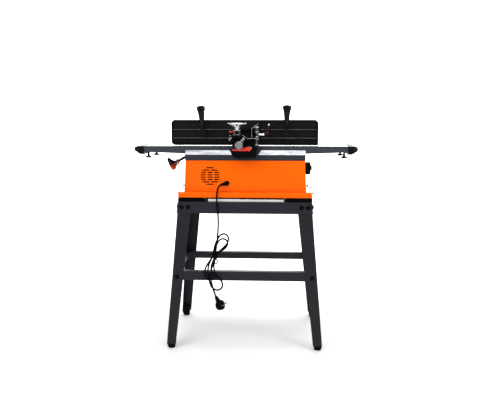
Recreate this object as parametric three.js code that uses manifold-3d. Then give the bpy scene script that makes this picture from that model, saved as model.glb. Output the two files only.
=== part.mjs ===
// A bench jointer on a sheet steel leg stand. Millimetres, +Z up, +X towards the outfeed end,
// -Y towards the fence and cord side. The origin is on the floor under the middle of the stand.
import * as THREE from "three";
import { mergeVertices } from "three/addons/utils/BufferGeometryUtils.js";
import Module from "manifold-3d";

const wasm = await Module();
wasm.setup();

// Driving dimensions. Heights are drawn from the legs' datum, which stands above the floor on the feet.
const gap = 0.3;
const datum = 11;
const foot = { radius: 15.5, sole: 12, wide: 31, top: 34 };
const stand = {
  topZ: 588.7, halfX: 272.5, halfY: 160, slopeX: 0.0806, slopeY: 0.1023, sheet: 2,
  railHeight: 46, flange: 35, legTop: 584, legBottom: 8, legWideTop: 55, legWideBottom: 37,
  stretcherTop: 308, stretcherBottom: 271, stretcherFlange: 25, boltHead: 7.5,
};
const base = { padZ: 589, plateZ: 601.4, trayZ: 604.8, deckZ: 627, halfX: 273, halfY: 144 };
const cabinet = { bottom: 627.3, top: 754.7, halfX: 248.6, halfY: 124, taperX: 5.6, taperY: 3, wall: 2 };
const vent = {
  x: -143, z: 691, rows: [1, 2, 3, 3, 3, 3, 2, 1], pitch: 9.6, slotHeight: 5, radius: 42, short: 31,
};
const bed = { bottom: 755, edge: 777.6, shoulder: 795.8, halfX: 245, halfY: 123, inner: 105.8, deck: 762 };
const table = { top: 812, plate: 9, end: 416, lip: 19, under: 26.5, halfY: 105, skirt: 8 };
const way = { angle: Math.PI / 6, length: 30, low: 768, y: [30, 50] };
const screw = { x: -266, z: 758, radius: 6, knobAt: 57, knobRadius: 26, lobe: 8 };
const support = {
  rodY: 80, rodZ: 796.2, rodRadius: 5, rodInner: 140, knobX: 403, heelX: 433, capBottom: 778,
  nose: { x: 444.5, z: 799.5, r: 12 },
};
const cutter = { z: 782, radius: 28, tip: 30, shaft: 8, from: -56, to: 92 };
const motor = { x: -144, z: 690, radius: 50, from: -62, to: 100 };
const belt = { from: -92, to: -76, small: 14, large: 28, thick: 3 };
const fence = { left: -309, right: 298, bottom: 813.3, top: 918, face: -54, back: -66, rib: 6 };
const bracket = { x: [-50, 56], y: -150, blockEnd: -132, base: 812.6, heelTop: 816 };
const stopBolt = { x: 49, y: -161, nut: 8, stud: 4, head: 7.5, height: 75 };
const wheel = { x: -29, y: -170, radius: 38, rim: 906 };
const levers = [
  { name: "infeed_fence_lever", x: -175, z: 866, lean: -0.073 },
  { name: "outfeed_fence_lever", x: 167, z: 868, lean: 0.018 },
];
const grip = { from: [-4, -155, 841.5], to: [-21, -204, 818], small: 7, large: 17 };
const gland = { x: -74, z: 662 };
const cordRadius = 3.5;
const plug = {
  start: [-114.6, -194, 203], down: [0.42, 0, -0.9], body: [-99, -194, 169], pins: [0.86, -0.4, 0.32],
  radius: 18.5, half: 13, pinLength: 19, spread: 9.5,
};

// Solids.
function toSolid(geometry) {
  const bare = geometry.clone();
  bare.deleteAttribute("normal");
  bare.deleteAttribute("uv");
  const merged = mergeVertices(bare, 1e-4);
  const vertProperties = Float32Array.from(merged.attributes.position.array);
  const triVerts = Uint32Array.from(merged.index.array);
  return new wasm.Manifold(new wasm.Mesh({ numProp: 3, vertProperties, triVerts }));
}

function toGeometry(solid) {
  const mesh = solid.getMesh();
  const geometry = new THREE.BufferGeometry();
  geometry.setAttribute("position", new THREE.BufferAttribute(mesh.vertProperties, 3));
  geometry.setIndex(new THREE.BufferAttribute(mesh.triVerts, 1));
  return geometry;
}

function join(...geometries) {
  return toGeometry(geometries.map(toSolid).reduce((whole, piece) => whole.add(piece)));
}

function cut(geometry, ...tools) {
  return toGeometry(tools.map(toSolid).reduce((whole, tool) => whole.subtract(tool), toSolid(geometry)));
}

function box([x0, x1], [y0, y1], [z0, z1]) {
  const geometry = new THREE.BoxGeometry(x1 - x0, y1 - y0, z1 - z0);
  return geometry.translate((x0 + x1) / 2, (y0 + y1) / 2, (z0 + z1) / 2);
}

// An outline pushed along an axis: (y, z) points along x, (x, z) points along y, (x, y) along z.
function prism(axis, outline, from, to, holes = []) {
  const shape = new THREE.Shape(outline.map(([a, b]) => new THREE.Vector2(a, b)));
  shape.holes = holes.map((hole) => new THREE.Path(hole.map(([a, b]) => new THREE.Vector2(a, b))));
  const geometry = new THREE.ExtrudeGeometry(shape, { depth: to - from, bevelEnabled: false });
  if (axis === "z") return geometry.translate(0, 0, from);
  if (axis === "y") return geometry.translate(0, 0, -to).rotateX(Math.PI / 2);
  geometry.translate(0, 0, from);
  const turn = new THREE.Matrix4().set(0, 0, 1, 0, 1, 0, 0, 0, 0, 1, 0, 0, 0, 0, 0, 1);
  return geometry.applyMatrix4(turn);
}

// A profile of [radius, height] points turned about +Z.
function turned(profile, sides = 24) {
  const points = profile.map(([r, h]) => new THREE.Vector2(r, h));
  return new THREE.LatheGeometry(points, sides).rotateX(Math.PI / 2);
}

// Lays a shape made along +Z so that it starts at a point and runs in a direction.
function aim(geometry, start, direction) {
  const along = new THREE.Vector3(...direction).normalize();
  const turn = new THREE.Quaternion().setFromUnitVectors(new THREE.Vector3(0, 0, 1), along);
  return geometry.applyQuaternion(turn).translate(...start);
}

function rod(start, end, r0, r1 = r0, sides = 16) {
  const run = end.map((v, i) => v - start[i]);
  const length = Math.hypot(...run);
  return aim(turned([[0, 0], [r0, 0], [r1, length], [0, length]], sides), start, run);
}

// Joins sections with the same number of corners, one above the other, into one closed solid.
function loft(sections) {
  const count = sections[0].length;
  const positions = sections.flat(2);
  const faces = [];
  sections.slice(1).forEach((_, s) => {
    for (let i = 0; i < count; i++) {
      const a = s * count + i;
      const b = s * count + ((i + 1) % count);
      faces.push(a, b, b + count, a, b + count, a + count);
    }
  });
  const flat = flattened(sections[0]);
  const caps = THREE.ShapeUtils.triangulateShape(flat, []);
  const last = (sections.length - 1) * count;
  caps.forEach(([a, b, c]) => faces.push(c, b, a, a + last, b + last, c + last));
  const geometry = new THREE.BufferGeometry();
  geometry.setAttribute("position", new THREE.Float32BufferAttribute(positions, 3));
  geometry.setIndex(volume(positions, faces) > 0 ? faces : faces.reverse());
  return geometry;
}

function flattened(section) {
  const spread = [0, 1, 2].map((k) => {
    const values = section.map((p) => p[k]);
    return Math.max(...values) - Math.min(...values);
  });
  const drop = spread.indexOf(Math.min(...spread));
  const keep = [0, 1, 2].filter((k) => k !== drop);
  const points = section.map((p) => new THREE.Vector2(p[keep[0]], p[keep[1]]));
  return THREE.ShapeUtils.isClockWise(points) ? flipped(section, keep) : points;
}

function flipped(section, keep) {
  return section.map((p) => new THREE.Vector2(-p[keep[0]], p[keep[1]]));
}

function volume(positions, faces) {
  let sum = 0;
  for (let i = 0; i < faces.length; i += 3) {
    const [a, b, c] = [0, 1, 2].map((k) => new THREE.Vector3().fromArray(positions, 3 * faces[i + k]));
    sum += a.dot(b.cross(c));
  }
  return sum;
}

function frustum(z0, [x0, y0], z1, [x1, y1]) {
  const ring = (x, y, z) => [[-x, -y, z], [x, -y, z], [x, y, z], [-x, y, z]];
  return loft([ring(x0, y0, z0), ring(x1, y1, z1)]);
}

// Looks.
const steel = { color: 0x272a31, roughness: 0.45, metalness: 0.4 };
const orange = { color: 0xff6a00, roughness: 0.35, metalness: 0.1 };
const casting = { color: 0x3a404d, roughness: 0.5, metalness: 0.3 };
const bare = { color: 0xd6d8da, roughness: 0.3, metalness: 0.9 };
const black = { color: 0x0c0c0e, roughness: 0.5, metalness: 0.1 };
const rubber = { color: 0x0a0a0a, roughness: 0.8, metalness: 0 };
const chrome = { color: 0xe6e8ea, roughness: 0.12, metalness: 1 };
const red = { color: 0xe0221a, roughness: 0.35, metalness: 0 };

function piece(name, geometry, look) {
  const material = new THREE.MeshStandardMaterial(look);
  const mesh = new THREE.Mesh(geometry.clone().translate(0, 0, datum), material);
  mesh.name = name;
  return mesh;
}

// Stand: its outer faces lean out towards the floor.
const outX = (z) => stand.halfX + stand.slopeX * (stand.topZ - z);
const outY = (z) => stand.halfY + stand.slopeY * (stand.topZ - z);
const inLeg = stand.sheet + gap;
const inStretcher = 2 * inLeg;

function leg(sx, sy) {
  const section = (z, wide) => {
    const x = outX(z) - inLeg;
    const y = outY(z) - inLeg;
    const t = stand.sheet;
    return [[x, y], [x - wide, y], [x - wide, y - t], [x - t, y - t], [x - t, y - wide], [x, y - wide]]
      .map(([a, b]) => [sx * a, sy * b, z]);
  };
  const plate = loft([section(stand.legBottom, stand.legWideBottom), section(stand.legTop, stand.legWideTop)]);
  const boltZ = (stand.stretcherTop + stand.stretcherBottom) / 2 - 5;
  const boltX = sx * (outX(boltZ) - 22);
  const head = bolt([boltX, sy * (outY(boltZ) - inLeg - 1), boltZ], [0, sy, 0]);
  return join(plate, head);
}

function bolt(start, direction) {
  const r = stand.boltHead;
  return aim(turned([[0, 0], [r, 0], [r, 2], [r * 0.6, 4.4], [0, 5]], 12), start, direction);
}

// A square plug inside the leg's end, on a round rubber foot.
function footCap(sx, sy) {
  const corner = (z) => [outX(z) - inStretcher, outY(z) - inStretcher];
  const section = (z) => {
    const [x, y] = corner(z);
    const { wide } = foot;
    return [[x, y], [x - wide, y], [x - wide, y - wide], [x, y - wide]].map(([a, b]) => [sx * a, sy * b, z]);
  };
  const [x, y] = corner(0);
  const round = turned([
    [0, -datum], [foot.sole, -datum], [foot.radius - 0.6, 3 - datum], [foot.radius, 6 - datum],
    [foot.radius, 4], [0, 4],
  ], 24);
  round.translate(sx * (x - foot.wide / 2), sy * (y - foot.wide / 2), 0);
  return join(round, loft([section(2), section(foot.top)]));
}

// A bent rail of L section. Long ones run along X and close the corners; cross ones fit inside them.
function rail(side, along, top, bottom, inset, flange, endInset) {
  const face = along === "x" ? outY : outX;
  const end = along === "x" ? outX : outY;
  const t = stand.sheet;
  const outer = (z) => face(z) - inset;
  const profile = [
    [outer(top), top], [outer(bottom), bottom], [outer(bottom) - t, bottom],
    [outer(top) - t, top - t], [outer(top) - flange, top - t], [outer(top) - flange, top],
  ];
  const section = (sign) => profile.map(([d, z]) => {
    const run = sign * (end(z) - endInset);
    return along === "x" ? [run, side * d, z] : [side * d, run, z];
  });
  return loft([section(-1), section(1)]);
}

function topRailX(side) {
  const whole = rail(side, "x", stand.topZ, stand.topZ - stand.railHeight, 0, stand.flange, 0);
  const z = stand.topZ - stand.railHeight * 0.45;
  const heads = [-257, -230, 230, 257].map((x) => bolt([x, side * (outY(z) - 1), z], [0, side, 0]));
  return join(whole, ...heads);
}

function topRailY(side) {
  const top = stand.topZ - inLeg;
  const whole = rail(side, "y", top, stand.topZ - stand.railHeight, 0, stand.flange, inLeg);
  const z = stand.topZ - stand.railHeight * 0.45;
  const heads = [-140, 140].map((y) => bolt([side * (outX(z) - 1), y, z], [side, 0, 0]));
  return join(whole, ...heads);
}

function stretcherX(side) {
  return rail(side, "x", stand.stretcherTop, stand.stretcherBottom, inStretcher, stand.stretcherFlange,
    inStretcher);
}

function stretcherY(side) {
  return rail(side, "y", stand.stretcherTop - inLeg, stand.stretcherBottom, inStretcher,
    stand.stretcherFlange, inStretcher + inLeg);
}

function makeStand() {
  const group = new THREE.Group();
  const ends = [["infeed", -1], ["outfeed", 1]];
  const sides = [["rear", -1], ["front", 1]];
  for (const [end, sx] of ends) {
    for (const [side, sy] of sides) {
      group.add(piece(`leg_${side}_${end}`, leg(sx, sy), steel));
      group.add(piece(`foot_cap_${side}_${end}`, footCap(sx, sy), rubber));
    }
    group.add(piece(`top_rail_${end}`, topRailY(sx), steel));
    group.add(piece(`stretcher_${end}`, stretcherY(sx), steel));
  }
  for (const [side, sy] of sides) {
    group.add(piece(`top_rail_${side}`, topRailX(sy), steel));
    group.add(piece(`stretcher_${side}`, stretcherX(sy), steel));
  }
  return group;
}

// Body.
function basePads() {
  const ring = cut(box([-270, 270], [-141, 141], [base.plateZ, base.trayZ - gap]),
    box([-150, 150], [-95, 95], [base.plateZ - 1, base.trayZ + 1]));
  const pads = [-1, 1].flatMap((sx) => [-1, 1].map((sy) => {
    const x = [sx * 166, sx * 273].sort((a, b) => a - b);
    const y = [sy * 100, sy * 143].sort((a, b) => a - b);
    return box(x, y, [base.padZ, base.plateZ + 1]);
  }));
  return join(ring, ...pads);
}

function baseTray() {
  const t = cabinet.wall;
  const outer = frustum(base.trayZ, [base.halfX, base.halfY], base.deckZ, [base.halfX - 2, base.halfY - 2]);
  const inner = frustum(base.trayZ - 1, [base.halfX - t, base.halfY - t], base.deckZ - t,
    [base.halfX - 2 - t, base.halfY - 2 - t]);
  return cut(outer, inner, box([-48, 48], [-68, 68], [base.trayZ, base.deckZ + 1]));
}

function ventSlots() {
  const { x, z, rows, pitch, slotHeight, radius, short } = vent;
  return rows.flatMap((count, row) => {
    const h = (3.5 - row) * pitch;
    const half = Math.sqrt(radius * radius - h * h);
    const step = (2 * half) / count;
    const width = count === 1 ? short : step - 7;
    return Array.from({ length: count }, (_, i) => {
      const middle = x - half + step * (i + 0.5);
      const low = z + h - slotHeight / 2;
      return box([middle - width / 2, middle + width / 2], [-130, -110], [low, low + slotHeight]);
    });
  });
}

function cabinetShell() {
  const { bottom, top, halfX, halfY, taperX, taperY, wall } = cabinet;
  const outer = frustum(bottom, [halfX, halfY], top, [halfX - taperX, halfY - taperY]);
  const inner = frustum(bottom - 1, [halfX - wall, halfY - wall], top + 1,
    [halfX - taperX - wall, halfY - taperY - wall]);
  const cordHole = rod([gland.x, -130, gland.z], [gland.x, -110, gland.z], 6, 6, 12);
  return cut(outer, inner, cordHole, ...ventSlots());
}

function sideWall(side) {
  const outline = [
    [side * bed.halfY, bed.bottom], [side * bed.halfY, bed.edge],
    [side * bed.inner, bed.shoulder], [side * bed.inner, bed.bottom],
  ];
  const pad = [
    [-52, side * bed.halfY], [52, side * bed.halfY], [66, side * bed.inner], [-66, side * bed.inner],
  ];
  return join(prism("x", outline, -bed.halfX, bed.halfX), prism("z", pad, bed.deck, 801));
}

function rampFeet(x, high) {
  const rise = way.length * Math.tan(way.angle);
  const foot = high
    ? [[x, 804], [x + way.length, 804], [x + way.length, way.low + rise + gap], [x, way.low + gap]]
    : [[x, bed.deck - 1], [x + way.length, bed.deck - 1], [x + way.length, way.low + rise], [x, way.low]];
  return [-1, 1].map((side) => {
    const [from, to] = way.y.map((y) => side * y).sort((a, b) => a - b);
    return prism("y", foot, from, to);
  });
}

const screwDirection = [-Math.cos(way.angle), 0, -Math.sin(way.angle)];
const onScrew = (distance) => {
  return [screw.x + distance * screwDirection[0], 0, screw.z + distance * screwDirection[2]];
};

function bedCasting() {
  const deck = cut(box([-234, 234], [-70, 106.5], [bed.bottom, bed.deck]),
    box([-38, 38], [-56, cutter.to], [bed.bottom - 1, bed.deck + 1]));
  const ends = [-1, 1].map((side) => {
    const x = [side * 233, side * bed.halfX].sort((a, b) => a - b);
    return box(x, [-106.5, 106.5], [bed.bottom, 774]);
  });
  const boss = box([-bed.halfX, -233], [-15, 15], [bed.bottom, 785]);
  const housings = [[-74, -58], [94, 106.5]].map((y) => box([-18, 18], y, [bed.deck - 1, 798.5]));
  const seats = [60, 185].flatMap((x) => [[-50, -30], [30, 50]].map((y) => box([x, x + 30], y, [761, 782])));
  const chute = cut(box([-42, 42], [-60, 96], [640, bed.bottom + 1]),
    box([-40, 40], [-58, 94], [639, bed.bottom + 2]));
  const post = rod([-8, 114, 795], [-8, 114, 825], 5, 5, 16);
  const whole = join(sideWall(-1), sideWall(1), deck, ...ends, boss, ...housings, ...seats, chute, post,
    ...rampFeet(-215, false), ...rampFeet(-85, false));
  return cut(whole, rod([0, -80, cutter.z], [0, 105, cutter.z], 13, 13, 24),
    rod(onScrew(-60), onScrew(10), screw.radius + 0.6, screw.radius + 0.6, 16));
}

// Tables. Each one is a plate with skirts, an end rib and a guide rib for the rods of its end support.
function tableBody(side) {
  const { top, plate, end, lip, under, halfY, skirt } = table;
  const under0 = top - plate;
  const flip = (outline) => outline.map(([x, z]) => [side * x, z]);
  const slab = prism("y", flip([[end, under0], [end, top], [lip, top], [under, under0]]), -halfY, halfY);
  const skirtLine = flip([[end, under0 + 1], [end, 787], [bed.halfX, 781], [45, 781], [45, under0 + 1]]);
  const skirts = [[-halfY, skirt - halfY], [halfY - skirt, halfY]].map(([a, b]) => prism("y", skirtLine, a, b));
  const ribs = [[393, end], [312, 320]].map(([a, b]) => {
    const x = [side * a, side * b].sort((p, q) => p - q);
    return box(x, [-98, 98], [787, under0 + 1]);
  });
  const bores = [-1, 1].flatMap((sy) => {
    const y = sy * support.rodY;
    const r = support.rodRadius + 0.4;
    const along = rod([side * (end + 1), y, support.rodZ], [side * 311, y, support.rodZ], r, r, 16);
    const stem = rod([side * support.knobX, y, 786], [side * support.knobX, y, 791.5], 3.5, 3.5, 12);
    return [along, stem];
  });
  return { solid: join(slab, ...skirts, ...ribs), bores };
}

function infeedTable() {
  const { solid, bores } = tableBody(-1);
  const lug = cut(box([-226, -208], [-11, 11], [771, 804]),
    rod(onScrew(-76), onScrew(-20), screw.radius + 0.7, screw.radius + 0.7, 16));
  return join(cut(solid, ...bores), lug, ...rampFeet(-215, true), ...rampFeet(-85, true));
}

function outfeedTable() {
  const { solid, bores } = tableBody(1);
  const feet = [60, 185].flatMap((x) => [[-50, -30], [30, 50]].map((y) => {
    return box([x, x + 30], y, [782 + gap, 804]);
  }));
  return join(cut(solid, ...bores), ...feet);
}

function endSupport(side) {
  const { nose } = support;
  const round = Array.from({ length: 7 }, (_, i) => {
    const angle = -Math.PI / 4 + (i / 6) * (Math.PI * 0.75);
    return [nose.x + nose.r * Math.cos(angle), nose.z + nose.r * Math.sin(angle)];
  });
  const inner = table.end + gap + 0.2;
  const outline = [[inner, support.capBottom], [support.heelX, support.capBottom], ...round, [inner, 811]];
  const bar = prism("y", outline.map(([x, z]) => [side * x, z]), -table.halfY, table.halfY);
  const rods = [-1, 1].map((sy) => {
    const at = (x) => [side * x, sy * support.rodY, support.rodZ];
    return rod(at(inner + 5), at(support.rodInner), support.rodRadius);
  });
  return join(bar, ...rods);
}

function lockKnob(sx, sy) {
  const profile = [
    [0, 761.5], [10, 761.5], [12.5, 763.5], [12, 768], [5.5, 771], [4.5, 783], [3, 785], [3, 790], [0, 790],
  ];
  return turned(profile, 20).translate(sx * support.knobX, sy * support.rodY, 0);
}

function depthScrew() {
  const stem = rod(onScrew(-68), onScrew(screw.knobAt - 8), screw.radius, screw.radius, 16);
  const collar = rod(onScrew(28), onScrew(38), 9.5, 9.5, 6);
  return join(stem, collar);
}

function depthHandKnob() {
  const count = 36;
  const outline = Array.from({ length: count }, (_, i) => {
    const angle = (i / count) * 2 * Math.PI;
    const r = screw.knobRadius + screw.lobe * Math.cos(3 * angle);
    return [r * Math.cos(angle), r * Math.sin(angle)];
  });
  const ring = (scale, z) => outline.map(([x, y]) => [x * scale, y * scale, z]);
  const knob = loft([ring(0.42, 0), ring(0.6, 10), ring(1, 20), ring(1, 27), ring(0.82, 31)]);
  const bore = rod([0, 0, -1], [0, 0, 8.4], screw.radius + gap, screw.radius + gap, 16);
  return aim(cut(knob, bore), onScrew(screw.knobAt - 16), screwDirection);
}

function makeBody() {
  const group = new THREE.Group();
  group.add(piece("base_pads", basePads(), rubber));
  group.add(piece("base_tray", baseTray(), orange));
  group.add(piece("cabinet", cabinetShell(), orange));
  group.add(piece("bed_casting", bedCasting(), casting));
  group.add(piece("infeed_table", infeedTable(), bare));
  group.add(piece("outfeed_table", outfeedTable(), bare));
  for (const [end, sx] of [["infeed", -1], ["outfeed", 1]]) {
    group.add(piece(`${end}_end_support`, endSupport(sx), black));
    group.add(piece(`${end}_lock_knob_rear`, lockKnob(sx, -1), black));
    group.add(piece(`${end}_lock_knob_front`, lockKnob(sx, 1), black));
  }
  group.add(piece("depth_screw", depthScrew(), steel));
  group.add(piece("depth_hand_knob", depthHandKnob(), red));
  return group;
}

// Drive: a motor under the bed turns the cutterblock through a belt on the rear side.
function motorBody() {
  const { x, z, radius, from, to } = motor;
  const can = rod([x, from, z], [x, to, z], radius, radius, 28);
  const foot = box([x - 40, x + 40], [from + 20, to - 20], [base.deckZ + gap, z]);
  const bore = rod([x, from - 1, z], [x, from + 30, z], 8.4, 8.4, 16);
  return cut(join(can, foot), bore);
}

function motorPulley() {
  const { x, z, from } = motor;
  const shaft = rod([x, from + 28, z], [x, belt.to - 1, z], 8, 8, 16);
  return join(shaft, rod([x, belt.to, z], [x, belt.from, z], belt.large, belt.large, 28));
}

function cutterPulley() {
  const r = cutter.shaft + gap;
  return cut(rod([0, belt.to, cutter.z], [0, belt.from, cutter.z], belt.small, belt.small, 24),
    rod([0, belt.to + 1, cutter.z], [0, belt.from - 1, cutter.z], r, r, 16));
}

// The outline of a loop round both pulleys, a distance outside their rims.
function beltOutline(extra) {
  const run = [-motor.x, cutter.z - motor.z];
  const distance = Math.hypot(...run);
  const heading = Math.atan2(run[1], run[0]);
  const lean = Math.acos((belt.large - belt.small) / distance);
  const arc = (cx, cz, r, from, to) => Array.from({ length: 13 }, (_, i) => {
    const angle = heading + from + ((to - from) * i) / 12;
    return [cx + (r + extra) * Math.cos(angle), cz + (r + extra) * Math.sin(angle)];
  });
  return [
    ...arc(motor.x, motor.z, belt.large, lean, 2 * Math.PI - lean),
    ...arc(0, cutter.z, belt.small, -lean, lean),
  ];
}

function driveBelt() {
  const loop = beltOutline(gap + belt.thick);
  return prism("y", loop, belt.from + 1, belt.to - 1, [beltOutline(gap + 0.1)]);
}

const knifeLean = 0.6;

function aboutCutter(geometry, turn) {
  return geometry.rotateY(knifeLean + turn).translate(0, 0, cutter.z);
}

function cutterblock() {
  const { from, to, z, radius, shaft } = cutter;
  const drum = rod([0, from, z], [0, to, z], radius, radius, 32);
  const axle = rod([0, belt.from - 2, z], [0, 103.5, z], shaft, shaft, 16);
  const slots = [0, Math.PI].map((turn) => aboutCutter(box([-1.7, 1.7], [from - 1, to + 1], [16, 40]), turn));
  const gullets = [0, Math.PI].map((turn) => aboutCutter(box([1, 9], [from - 1, to + 1], [22, 40]), turn));
  return cut(join(drum, axle), ...slots, ...gullets);
}

function knife(turn) {
  const edge = Math.sqrt(cutter.tip ** 2 - 1.4 ** 2);
  const outline = [[-1.4, 16.4], [1.4, 16.4], [1.4, edge], [-1.4, edge - 2.6]];
  return aboutCutter(prism("y", outline, cutter.from + 0.5, cutter.to - 0.5), turn);
}

function bearing(from, to) {
  const r = cutter.shaft + gap;
  return cut(rod([0, from, cutter.z], [0, to, cutter.z], 12.7, 12.7, 24),
    rod([0, from - 1, cutter.z], [0, to + 1, cutter.z], r, r, 16));
}

function makeDrive() {
  const group = new THREE.Group();
  group.add(piece("motor", motorBody(), black));
  group.add(piece("motor_pulley", motorPulley(), bare));
  group.add(piece("drive_belt", driveBelt(), rubber));
  group.add(piece("cutter_pulley", cutterPulley(), bare));
  group.add(piece("cutterblock", cutterblock(), bare));
  group.add(piece("knife_a", knife(0), chrome));
  group.add(piece("knife_b", knife(Math.PI), chrome));
  group.add(piece("bearing_rear", bearing(-73, -60), chrome));
  group.add(piece("bearing_front", bearing(94.5, 104), chrome));
  return group;
}

// Fence and its carriage.
function fenceBody() {
  const { left, right, bottom, top, face, back, rib } = fence;
  const corner = Array.from({ length: 5 }, (_, i) => {
    const angle = Math.PI + (i / 4) * (Math.PI / 2);
    return [left + 15 + 15 * Math.cos(angle), bottom + 15 + 15 * Math.sin(angle)];
  });
  const outline = [
    ...corner, [right, bottom], [right, top - 11], [right - 11, top], [left + 11, top], [left, top - 11],
  ];
  const middle = (back + face) / 2;
  const rows = [[bottom + 13, 839.5], [844.5, 874.5], [879.5, top - 8]];
  const spans = [[left + rib, -60], [60, right - rib]];
  const pockets = rows.flatMap((z) => spans.map((x) => box(x, [back - 1, middle], z)));
  const chamfer = prism("x", [[face - 0.6, bottom - 0.5], [back - 4, bottom + 15.8], [back - 4, bottom - 0.5]],
    left - 1, right + 1);
  return cut(prism("y", outline, back, face), ...pockets, chamfer);
}

// The cast bracket behind the fence that it tilts with, and the bolt across it.
function tiltBracket() {
  const back = fence.back - gap;
  const outline = [[back, 836], [back, 882], [-92, 882], [-92, 862]];
  const cheeks = [[-46, -38], [38, 46]].map(([a, b]) => prism("x", outline, a, b));
  const web = prism("x", [[back, 868], [back, 882], [-76, 882], [-76, 872]], -39, 39);
  const pin = rod([46, -82, 864], [80, -82, 864], 4, 4, 12);
  const nut = rod([52, -82, 864], [58, -82, 864], 7, 7, 6);
  return join(...cheeks, web, pin, nut);
}

function tiltLockLever() {
  const hub = rod([80 + gap, -82, 864], [94, -82, 864], 7.5, 7.5, 16);
  const arm = rod([87, -82, 866], [95, -84, 896], 5, 4, 12);
  const tip = rod([95, -84, 895], [97, -84.5, 902], 4.4, 3, 12);
  return join(hub, arm, tip);
}

function slideBed() {
  const outline = [
    [-38, 769], [44, 769], [50, 780], [50, 812], [30, 812], [30, 796], [-52, 796], [-50, 782],
  ];
  return prism("y", outline, -186, -bed.halfY - gap);
}

function fenceCarriage() {
  const [x0, x1] = bracket.x;
  const low = bracket.base;
  const crown = [[x0, low], [x1, low], [x1, 842], [37, 846], [13, 844], [-7, 857], [-28, 853], [x0, 850]];
  const block = prism("y", crown, bracket.y, bracket.blockEnd);
  const sole = box([x0, x1], [-174, -121], [low, bracket.heelTop]);
  const arm = box([-46, 46], [-121, -78], [813.2, 816.6]);
  const heel = box([8, x1], [-185, -150], [low, bracket.heelTop]);
  const shelf = box([-50, -10], [-186, -149], [850, 858.7]);
  const plate = join(box([26.5, 29.5], [-149, -141], [840, 886]),
    prism("y", [[26.5, 885], [53, 903.5], [55, 901], [29.5, 884]], -149, -141));
  return join(block, sole, arm, heel, shelf, plate);
}

function clampHandwheel() {
  const { x, y, radius, rim } = wheel;
  const profile = [
    [0, 880], [6, 880], [6, 884], [9, 886], [radius * 0.6, 897], [radius, rim - 4], [radius, rim],
    [radius - 3, rim], [radius * 0.55, rim - 5], [0, rim - 6],
  ];
  return turned(profile, 28).translate(x, y, 0);
}

function clampBlock() {
  const { x, y } = wheel;
  const block = box([x - 14, x + 14], [y - 13, y + 13], [859, 879.5]);
  return join(block, rod([x - 13, y, 872], [-60, y, 872], 2.6, 2.6, 10));
}

function slideLockHandle() {
  const run = grip.to.map((v, i) => v - grip.from[i]);
  const length = Math.hypot(...run);
  const { small, large } = grip;
  const profile = [
    [0, 0], [small, 0], [small, 8], [small + 2, 12], [large - 4, length * 0.72], [large, length - 8],
    [large, length - 2], [large - 2, length], [0, length],
  ];
  return aim(turned(profile, 24), grip.from, run);
}

function camLever() {
  const outline = [[26, 799], [25, 815], [12, 817], [4, 806], [-44, 803], [-48, 801], [-47, 797.5], [0, 797]];
  return prism("y", outline, -192, -186 - gap);
}

function tiltStopBolt() {
  const { x, y, nut, stud, head, height } = stopBolt;
  const profile = [
    [0, 0], [nut, 0], [nut, 7], [stud, 7], [stud, 30], [nut - 1, 30], [nut - 1, 37], [stud, 37],
    [stud, 52], [nut - 1, 52], [nut - 1, 59], [stud, 59], [stud, height - 8], [head, height - 8],
    [head, height - 1], [head - 1, height], [0, height],
  ];
  return turned(profile, 12).translate(x, y, bracket.heelTop + gap);
}

function fenceLever({ x, z, lean }) {
  const y = -88;
  const stick = turned([[0, 0], [5, 0], [4.6, 44], [0, 44]], 12);
  const bulb = turned([
    [0, 36], [5.2, 36], [8, 44], [9.6, 54], [11, 72], [13.2, 86], [15.4, 95], [15.6, 101], [13.6, 106],
    [9, 109.4], [0, 110],
  ], 24);
  const upright = join(stick, bulb).rotateY(lean).translate(x, y, z);
  const hub = rod([x, -95, z], [x, fence.back - gap, z], 9, 9, 16);
  return join(upright, hub);
}

function makeFence() {
  const group = new THREE.Group();
  group.add(piece("fence", fenceBody(), black));
  group.add(piece("tilt_bracket", tiltBracket(), black));
  group.add(piece("tilt_lock_lever", tiltLockLever(), red));
  group.add(piece("slide_bed", slideBed(), black));
  group.add(piece("fence_carriage", fenceCarriage(), black));
  group.add(piece("clamp_handwheel", clampHandwheel(), chrome));
  group.add(piece("clamp_block", clampBlock(), chrome));
  group.add(piece("slide_lock_handle", slideLockHandle(), bare));
  group.add(piece("cam_lever", camLever(), red));
  group.add(piece("tilt_stop_bolt", tiltStopBolt(), chrome));
  levers.forEach((lever) => group.add(piece(lever.name, fenceLever(lever), black)));
  return group;
}

// Safety and electric parts.
function cutterGuard() {
  const outline = [
    [-26, 118], [-16, 127], [0, 127], [14, 118], [34, 96], [40, 70], [34, 40], [20, 16], [4, 9], [-8, 14],
    [-22, 40], [-30, 74], [-32, 98],
  ];
  const plate = prism("z", outline, 814, 819);
  const hub = rod([-8, 114, 814], [-8, 114, 824], 10, 10, 20);
  return cut(join(plate, hub), rod([-8, 114, 813], [-8, 114, 826], 5.3, 5.3, 16));
}

const buttons = [
  { name: "start_button", y: 12, look: { color: 0x1f9d3a, roughness: 0.4, metalness: 0 } },
  { name: "stop_button", y: 42, look: red },
];
const switchBoxAt = { x: [246.3, 271], y: [-10, 64], z: [688, 738], recess: 262, out: 277 };
const buttonAxis = (switchBoxAt.z[0] + switchBoxAt.z[1]) / 2;

function switchBox() {
  const { x, y, z, recess } = switchBoxAt;
  const recesses = buttons.map((item) => {
    return rod([recess - 4, item.y, buttonAxis], [x[1] + 1, item.y, buttonAxis], 10.5, 10.5, 20);
  });
  return cut(box(x, y, z), ...recesses);
}

function button({ y }) {
  return rod([switchBoxAt.recess, y, buttonAxis], [switchBoxAt.out, y, buttonAxis], 10, 9.4, 20);
}

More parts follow.
